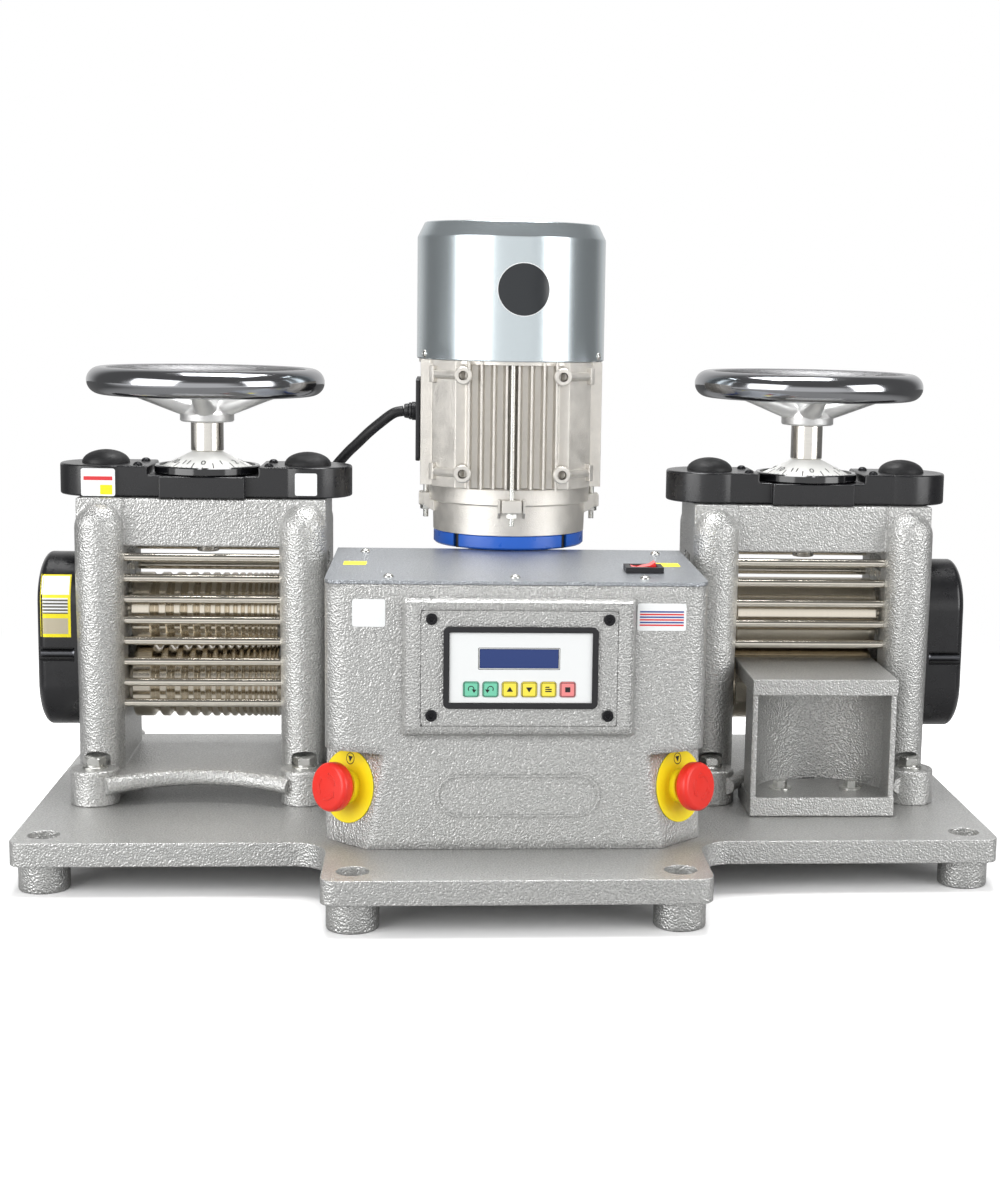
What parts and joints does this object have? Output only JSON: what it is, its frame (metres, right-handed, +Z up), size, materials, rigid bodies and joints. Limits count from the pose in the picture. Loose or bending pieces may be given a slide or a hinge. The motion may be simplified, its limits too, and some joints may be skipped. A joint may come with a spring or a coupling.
{
  "type": "jewellers rolling mill",
  "caption": "Bench rolling mill for jewellers with a wire stand, a sheet stand, a geared upright motor and a control housing on one base plate.",
  "frame": {"origin": "on the floor under the middle of the base plate", "axes": "+X to the operator's right along the rolls, +Y to the rear, +Z up"},
  "size_m": [0.8446, 0.468, 0.561],
  "materials": {
    "hammered_paint": "silver hammered paint",
    "black_plastic": "satin black",
    "ground_steel": "ground and oiled",
    "chrome": "polished",
    "dial_face": "satin grey",
    "cast_aluminium": "as cast",
    "blue_enamel": "gloss enamel",
    "cowl_paint": "silver paint",
    "lead_rubber": "matt",
    "red_plastic": "gloss",
    "yellow_plastic": "satin",
    "white_film": "matt film",
    "display_blue": "gloss",
    "mint_key": "matt",
    "yellow_key": "matt",
    "pink_key": "matt"
  },
  "bodies": {
    "machine": {"base_plate": "hammered_paint", "left_stand": "hammered_paint", "right_stand": "hammered_paint", "housing": "hammered_paint", "housing_lid": "hammered_paint", "panel_plate": "hammered_paint", "rear_cover": "hammered_paint", "work_table": "hammered_paint", "left_top_cover": "black_plastic", "right_top_cover": "black_plastic", "left_gear_cover": "black_plastic", "right_gear_cover": "black_plastic", "keypad_frame": "black_plastic", "switch_frame": "black_plastic", "terminal_cover": "black_plastic", "gearbox": "cast_aluminium", "motor_end_shield": "cast_aluminium", "motor_stator": "cast_aluminium", "motor_flange": "blue_enamel", "fan_cowl": "cowl_paint", "motor_lead": "lead_rubber", "left_stop_body": "yellow_plastic", "right_stop_body": "yellow_plastic", "keypad_overlay": "white_film", "display": "display_blue"},
    "drive": {"drive_shaft": "ground_steel", "left_lower_roll": "ground_steel", "right_lower_roll": "ground_steel", "left_lower_gear": "ground_steel", "right_lower_gear": "ground_steel"},
    "rotor": {"motor_rotor": "ground_steel"},
    "rocker": {"rocker": "red_plastic"},
    "left_chocks": {"left_inner_chock": "ground_steel", "left_outer_chock": "ground_steel"},
    "left_upper_train": {"left_upper_roll": "ground_steel", "left_upper_gear": "ground_steel"},
    "left_wheel": {"left_handwheel": "chrome", "left_spindle": "ground_steel", "left_dial": "dial_face"},
    "left_inner_adjuster": {"left_inner_screw": "ground_steel"},
    "left_outer_adjuster": {"left_outer_screw": "ground_steel"},
    "left_stop": {"left_stop_button": "red_plastic"},
    "right_chocks": {"right_inner_chock": "ground_steel", "right_outer_chock": "ground_steel"},
    "right_upper_train": {"right_upper_roll": "ground_steel", "right_upper_gear": "ground_steel"},
    "right_wheel": {"right_handwheel": "chrome", "right_spindle": "ground_steel", "right_dial": "dial_face"},
    "right_inner_adjuster": {"right_inner_screw": "ground_steel"},
    "right_outer_adjuster": {"right_outer_screw": "ground_steel"},
    "right_stop": {"right_stop_button": "red_plastic"},
    "key_1_body": {"key_1": "mint_key"},
    "key_2_body": {"key_2": "mint_key"},
    "key_3_body": {"key_3": "yellow_key"},
    "key_4_body": {"key_4": "yellow_key"},
    "key_5_body": {"key_5": "yellow_key"},
    "key_6_body": {"key_6": "pink_key"}
  },
  "joints": [
    {"name": "motor_spin", "type": "hinge", "parent": "machine", "child": "rotor", "pos_m": [0, 0.122, 0.345], "axis": [0, 0, 1], "continuous": true},
    {"name": "drive_spin", "type": "hinge", "parent": "machine", "child": "drive", "pos_m": [0, 0.084, 0.1405], "axis": [-1, 0, 0], "continuous": true},
    {"name": "left_wheel_turn", "type": "hinge", "parent": "machine", "child": "left_wheel", "pos_m": [-0.274, 0.084, 0.375], "axis": [0, 0, 1], "range_deg": [0, 720]},
    {"name": "left_chock_lift", "type": "slide", "parent": "machine", "child": "left_chocks", "axis": [0, 0, 1], "range_m": [0, 0.005]},
    {"name": "left_upper_spin", "type": "hinge", "parent": "left_chocks", "child": "left_upper_train", "pos_m": [-0.274, 0.084, 0.2071], "axis": [-1, 0, 0], "continuous": true},
    {"name": "left_inner_screw_turn", "type": "hinge", "parent": "machine", "child": "left_inner_adjuster", "pos_m": [-0.184, 0.084, 0.295], "axis": [0, 0, 1], "range_deg": [0, 720]},
    {"name": "left_outer_screw_turn", "type": "hinge", "parent": "machine", "child": "left_outer_adjuster", "pos_m": [-0.364, 0.084, 0.295], "axis": [0, 0, 1], "range_deg": [0, 720]},
    {"name": "left_stop_press", "type": "slide", "parent": "machine", "child": "left_stop", "axis": [0.7002, 0.7002, -0.1392], "range_m": [0, 0.004]},
    {"name": "right_wheel_turn", "type": "hinge", "parent": "machine", "child": "right_wheel", "pos_m": [0.274, 0.084, 0.375], "axis": [0, 0, 1], "range_deg": [0, 720]},
    {"name": "right_chock_lift", "type": "slide", "parent": "machine", "child": "right_chocks", "axis": [0, 0, 1], "range_m": [0, 0.005]},
    {"name": "right_upper_spin", "type": "hinge", "parent": "right_chocks", "child": "right_upper_train", "pos_m": [0.274, 0.084, 0.2071], "axis": [-1, 0, 0], "continuous": true},
    {"name": "right_inner_screw_turn", "type": "hinge", "parent": "machine", "child": "right_inner_adjuster", "pos_m": [0.184, 0.084, 0.295], "axis": [0, 0, 1], "range_deg": [0, 720]},
    {"name": "right_outer_screw_turn", "type": "hinge", "parent": "machine", "child": "right_outer_adjuster", "pos_m": [0.364, 0.084, 0.295], "axis": [0, 0, 1], "range_deg": [0, 720]},
    {"name": "right_stop_press", "type": "slide", "parent": "machine", "child": "right_stop", "axis": [-0.7002, 0.7002, -0.1392], "range_m": [0, 0.004]},
    {"name": "rocker_tilt", "type": "hinge", "parent": "machine", "child": "rocker", "pos_m": [0.108, -0.076, 0.2688], "axis": [0, 1, 0], "range_deg": [0, 22]},
    {"name": "key_1_press", "type": "slide", "parent": "machine", "child": "key_1_body", "axis": [0, 1, 0], "range_m": [0, 0.0006], "stiffness_N_per_m": 400},
    {"name": "key_2_press", "type": "slide", "parent": "machine", "child": "key_2_body", "axis": [0, 1, 0], "range_m": [0, 0.0006], "stiffness_N_per_m": 400},
    {"name": "key_3_press", "type": "slide", "parent": "machine", "child": "key_3_body", "axis": [0, 1, 0], "range_m": [0, 0.0006], "stiffness_N_per_m": 400},
    {"name": "key_4_press", "type": "slide", "parent": "machine", "child": "key_4_body", "axis": [0, 1, 0], "range_m": [0, 0.0006], "stiffness_N_per_m": 400},
    {"name": "key_5_press", "type": "slide", "parent": "machine", "child": "key_5_body", "axis": [0, 1, 0], "range_m": [0, 0.0006], "stiffness_N_per_m": 400},
    {"name": "key_6_press", "type": "slide", "parent": "machine", "child": "key_6_body", "axis": [0, 1, 0], "range_m": [0, 0.0006], "stiffness_N_per_m": 400}
  ],
  "couplings": [
    {"joint": "drive_spin", "follows": "motor_spin", "ratio": 0.025},
    {"joint": "left_chock_lift", "follows": "left_wheel_turn", "m_per_rad": 0.00039789},
    {"joint": "left_upper_spin", "follows": "motor_spin", "ratio": -0.025},
    {"joint": "left_inner_screw_turn", "follows": "left_wheel_turn", "ratio": 1},
    {"joint": "left_outer_screw_turn", "follows": "left_wheel_turn", "ratio": 1},
    {"joint": "right_chock_lift", "follows": "right_wheel_turn", "m_per_rad": 0.00039789},
    {"joint": "right_upper_spin", "follows": "motor_spin", "ratio": -0.025},
    {"joint": "right_inner_screw_turn", "follows": "right_wheel_turn", "ratio": 1},
    {"joint": "right_outer_screw_turn", "follows": "right_wheel_turn", "ratio": 1}
  ]
}
